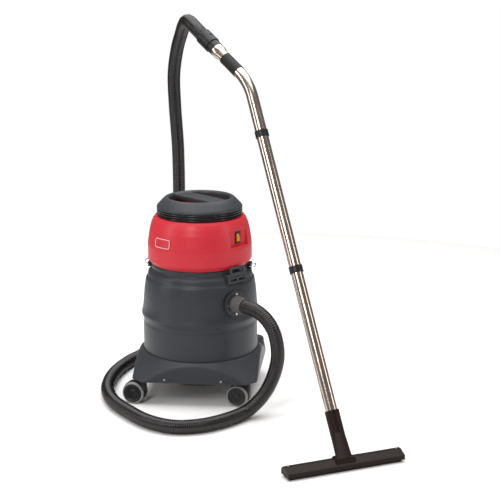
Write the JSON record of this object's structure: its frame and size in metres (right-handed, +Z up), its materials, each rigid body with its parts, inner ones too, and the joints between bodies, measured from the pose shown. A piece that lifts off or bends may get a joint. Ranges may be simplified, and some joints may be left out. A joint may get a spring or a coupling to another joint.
{
  "type": "shop vacuum",
  "caption": "Wet and dry shop vacuum: round tank on a caster base, lift-off red motor head with wound mains cable, ribbed hose, bent steel wand and wide floor tool.",
  "frame": {"origin": "the floor point under the tank's axis", "axes": "+Z up along the tank's axis; the square base's front faces -Y and its sides face +X and -X"},
  "size_m": [1.0527, 1.2774, 1.2984],
  "materials": {
    "anthracite": "satin moulded polyethylene",
    "black_plastic": "satin black plastic",
    "red": "satin red plastic",
    "steel": "polished stainless tube",
    "bright_steel": "bright zinc plated steel",
    "rubber": "black rubber",
    "tyre": "light grey rubber",
    "hose_black": "ribbed black hose",
    "cable": "glossy black cable",
    "grey_plastic": "grey plastic",
    "amber": "lit amber plastic",
    "foam": "open foam",
    "cloth": "filter cloth",
    "white_plastic": "white acetal",
    "copper": "copper winding on laminations"
  },
  "bodies": {
    "machine": {"tank": "anthracite", "base": "anthracite", "screws": "bright_steel", "inlet_flange": "anthracite", "tank_cuff": "black_plastic", "hose": "hose_black", "swivel_ring": "white_plastic", "bail_brackets": "black_plastic", "latch_bracket": "anthracite", "latch_pin": "bright_steel"},
    "head": {"head_plate": "black_plastic", "red_housing": "red", "lid": "anthracite", "tank_gasket": "rubber", "badge_plate": "red", "switch_bezel": "black_plastic", "motor_casing": "grey_plastic", "stator": "copper", "bearings": "bright_steel", "exhaust_foam": "foam", "filter": "cloth", "float_cage": "black_plastic", "mains_cable": "cable", "cable_tail": "cable", "cable_gland": "black_plastic", "plug": "black_plastic", "plug_pins": "bright_steel"},
    "wand": {"wand_cuff": "black_plastic", "bent_tube": "steel", "grip": "rubber", "tube_collars": "black_plastic", "tube_upper": "steel", "tube_lower": "steel", "tool_neck": "black_plastic", "tool_head": "black_plastic", "squeegees": "rubber", "tool_screws": "bright_steel"},
    "rocker": {"rocker": "amber"},
    "motor_rotor": {"rotor": "bright_steel", "fan": "grey_plastic"},
    "float": {"float": "white_plastic"},
    "bail_right": {"wire_bail_right": "bright_steel"},
    "bail_left": {"wire_bail_left": "bright_steel"},
    "latch": {"latch_frame": "anthracite"},
    "caster_1": {"caster_1_hood": "black_plastic", "caster_1_pins": "bright_steel"},
    "wheels_1": {"caster_1_wheels": "black_plastic", "caster_1_tyres": "tyre"},
    "caster_2": {"caster_2_hood": "black_plastic", "caster_2_pins": "bright_steel"},
    "wheels_2": {"caster_2_wheels": "black_plastic", "caster_2_tyres": "tyre"},
    "caster_3": {"caster_3_hood": "black_plastic", "caster_3_pins": "bright_steel"},
    "wheels_3": {"caster_3_wheels": "black_plastic", "caster_3_tyres": "tyre"},
    "caster_4": {"caster_4_hood": "black_plastic", "caster_4_pins": "bright_steel"},
    "wheels_4": {"caster_4_wheels": "black_plastic", "caster_4_tyres": "tyre"}
  },
  "joints": [
    {"name": "head_lift", "type": "slide", "parent": "machine", "child": "head", "axis": [0, 0, 1], "range_m": [0, 0.3]},
    {"name": "wand_swivel", "type": "hinge", "parent": "machine", "child": "wand", "pos_m": [0.05723, -0.07807, 1.20639], "axis": [-0.6508, 0.5365, 0.5373], "continuous": true},
    {"name": "switch_rocker", "type": "hinge", "parent": "head", "child": "rocker", "pos_m": [0.13898, -0.08517, 0.565], "axis": [0.5225, 0.8526, 0], "range_deg": [0, 20]},
    {"name": "motor_spin", "type": "hinge", "parent": "head", "child": "motor_rotor", "pos_m": [0, 0, 0.491], "axis": [0, 0, 1], "continuous": true},
    {"name": "float_rise", "type": "slide", "parent": "head", "child": "float", "axis": [0, 0, 1], "range_m": [0, 0.022]},
    {"name": "bail_right_swing", "type": "hinge", "parent": "machine", "child": "bail_right", "pos_m": [0.175, 0, 0.45], "axis": [0, -1, 0], "range_deg": [-70, 70]},
    {"name": "bail_left_swing", "type": "hinge", "parent": "machine", "child": "bail_left", "pos_m": [-0.175, 0, 0.45], "axis": [0, 1, 0], "range_deg": [-100, 34]},
    {"name": "latch_tip", "type": "hinge", "parent": "machine", "child": "latch", "pos_m": [0.14144, -0.1208, 0.444], "axis": [0.6494, 0.7604, 0], "range_deg": [0, 75]},
    {"name": "caster_1_swivel", "type": "hinge", "parent": "machine", "child": "caster_1", "pos_m": [-0.178, -0.178, 0.09], "axis": [0, 0, 1], "continuous": true},
    {"name": "caster_1_roll", "type": "hinge", "parent": "caster_1", "child": "wheels_1", "pos_m": [-0.20441, -0.17239, 0.0375], "axis": [-0.2079, -0.9781, 0], "continuous": true},
    {"name": "caster_2_swivel", "type": "hinge", "parent": "machine", "child": "caster_2", "pos_m": [0.178, -0.178, 0.09], "axis": [0, 0, 1], "continuous": true},
    {"name": "caster_2_roll", "type": "hinge", "parent": "caster_2", "child": "wheels_2", "pos_m": [0.15159, -0.17239, 0.0375], "axis": [-0.2079, -0.9781, 0], "continuous": true},
    {"name": "caster_3_swivel", "type": "hinge", "parent": "machine", "child": "caster_3", "pos_m": [0.178, 0.178, 0.09], "axis": [0, 0, 1], "continuous": true},
    {"name": "caster_3_roll", "type": "hinge", "parent": "caster_3", "child": "wheels_3", "pos_m": [0.15107, 0.17988, 0.0375], "axis": [-0.0698, -0.9976, 0], "continuous": true},
    {"name": "caster_4_swivel", "type": "hinge", "parent": "machine", "child": "caster_4", "pos_m": [-0.178, 0.178, 0.09], "axis": [0, 0, 1], "continuous": true},
    {"name": "caster_4_roll", "type": "hinge", "parent": "caster_4", "child": "wheels_4", "pos_m": [-0.20337, 0.18724, 0.0375], "axis": [-0.342, -0.9397, 0], "continuous": true}
  ]
}
